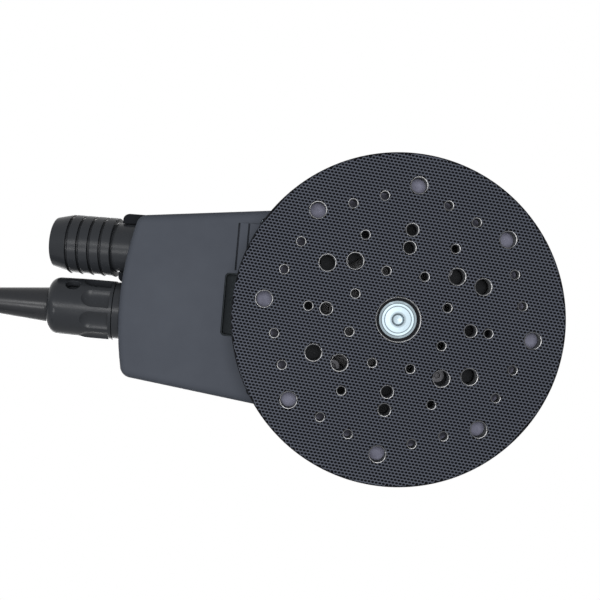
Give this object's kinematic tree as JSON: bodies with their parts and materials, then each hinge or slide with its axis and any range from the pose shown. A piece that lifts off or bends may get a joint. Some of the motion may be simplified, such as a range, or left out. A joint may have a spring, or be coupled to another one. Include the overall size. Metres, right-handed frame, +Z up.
{
  "type": "random orbital sander",
  "caption": "Compact corded orbital sander: round hook-and-loop pad, tapering handle with paddle lever, swivelling dust outlet, twist-lock cable plug and coiled lead.",
  "frame": {"origin": "centre of the pad's working face", "axes": "+Z up out of the pad, -X along the handle to the dust outlet and the cable plug"},
  "size_m": [0.4805, 0.1838, 0.0976],
  "materials": {
    "housing_plastic": "fine spark texture",
    "dark_plastic": "smooth matt",
    "grip_rubber": "matt",
    "seal_rubber": "matt",
    "hook_fabric": "hook textile",
    "pad_foam": "fine-cell foam",
    "pad_plate": "glass-filled, matt",
    "zinc_steel": "zinc plated",
    "bearing_steel": "ground",
    "cast_aluminium": "die cast",
    "lamination": "stacked sheet",
    "magnet": "sintered",
    "copper": "enamelled wire",
    "fan_plastic": "moulded",
    "board": "solder resist",
    "capacitor": "sleeved",
    "spring_steel": "spring temper",
    "key_plastic": "smooth matt",
    "lens": "diffuse light pipe",
    "cord_rubber": "matt",
    "brass_pins": "nickel plated",
    "strap": "woven"
  },
  "bodies": {
    "housing": {"main_bearing": "bearing_steel", "tail_bearing": "bearing_steel", "motor_bell": "cast_aluminium", "motor_can": "cast_aluminium", "stator_core": "lamination", "stator_windings": "copper", "bearing_bridge": "cast_aluminium", "shroud": "dark_plastic", "brake_seal": "seal_rubber", "shroud_screws": "zinc_steel", "lower_housing": "housing_plastic", "upper_housing": "housing_plastic", "housing_screws": "zinc_steel", "head_cap": "housing_plastic", "palm_grip": "grip_rubber", "lever_pin": "spring_steel", "lever_spring": "spring_steel", "lever_switch": "dark_plastic", "keypad_bezel": "dark_plastic", "keypad_board": "board", "status_lens": "lens", "controller_board": "board", "capacitors": "capacitor", "heat_sink": "cast_aluminium", "dust_duct": "dark_plastic", "outlet_seal": "seal_rubber", "inlet_socket": "dark_plastic", "inlet_pins": "brass_pins", "plug_core": "dark_plastic", "cable_boot": "cord_rubber", "mains_cord": "cord_rubber", "cord_coil": "cord_rubber", "cord_tail": "cord_rubber", "cord_tie": "strap", "mains_plug": "cord_rubber", "mains_pins": "brass_pins"},
    "rotor": {"eccentric_shaft": "bearing_steel", "counterweight": "cast_aluminium", "bearing_circlip": "spring_steel", "spindle_bearing_lower": "bearing_steel", "spindle_bearing_upper": "bearing_steel", "rotor_core": "lamination", "rotor_magnets": "magnet", "cooling_fan": "fan_plastic"},
    "pad": {"hook_face": "hook_fabric", "pad_foam": "pad_foam", "pad_plate": "pad_plate", "pad_stud": "zinc_steel", "pad_spindle": "zinc_steel", "spindle_retainer": "spring_steel"},
    "lever": {"lever": "dark_plastic"},
    "power_key": {"power_button": "key_plastic"},
    "speed_up_key": {"speed_up_button": "key_plastic"},
    "speed_down_key": {"speed_down_button": "key_plastic"},
    "outlet": {"dust_outlet": "dark_plastic"},
    "sleeve": {"lock_sleeve": "dark_plastic"}
  },
  "joints": [
    {"name": "motor_spin", "type": "hinge", "parent": "housing", "child": "rotor", "pos_m": [-0.0025, 0, 0], "axis": [0, 0, 1], "continuous": true},
    {"name": "pad_spin", "type": "hinge", "parent": "rotor", "child": "pad", "pos_m": [0, 0, 0], "axis": [0, 0, 1], "continuous": true},
    {"name": "lever_press", "type": "hinge", "parent": "housing", "child": "lever", "pos_m": [-0.0596, 0, 0.07582], "axis": [0, -1, 0], "range_deg": [0, 5], "stiffness_Nm_per_rad": 2.2, "springref_deg": -2.86, "deforming": ["lever_spring"]},
    {"name": "power_press", "type": "slide", "parent": "housing", "child": "power_key", "axis": [0.1212, -0.9871, -0.1045], "range_m": [0, 0.0008], "stiffness_N_per_m": 2500, "springref_m": -0.0004},
    {"name": "speed_up_press", "type": "slide", "parent": "housing", "child": "speed_up_key", "axis": [0.1212, -0.9871, -0.1045], "range_m": [0, 0.0008], "stiffness_N_per_m": 2500, "springref_m": -0.0004},
    {"name": "speed_down_press", "type": "slide", "parent": "housing", "child": "speed_down_key", "axis": [0.1212, -0.9871, -0.1045], "range_m": [0, 0.0008], "stiffness_N_per_m": 2500, "springref_m": -0.0004},
    {"name": "outlet_swivel", "type": "hinge", "parent": "housing", "child": "outlet", "pos_m": [-0.12724, -0.0223, 0.05096], "axis": [-0.9848, 0, 0.1736], "continuous": true},
    {"name": "sleeve_lock", "type": "hinge", "parent": "housing", "child": "sleeve", "pos_m": [-0.0025, 0.0078, 0.048], "axis": [-1, 0, 0], "range_deg": [0, 45]}
  ]
}
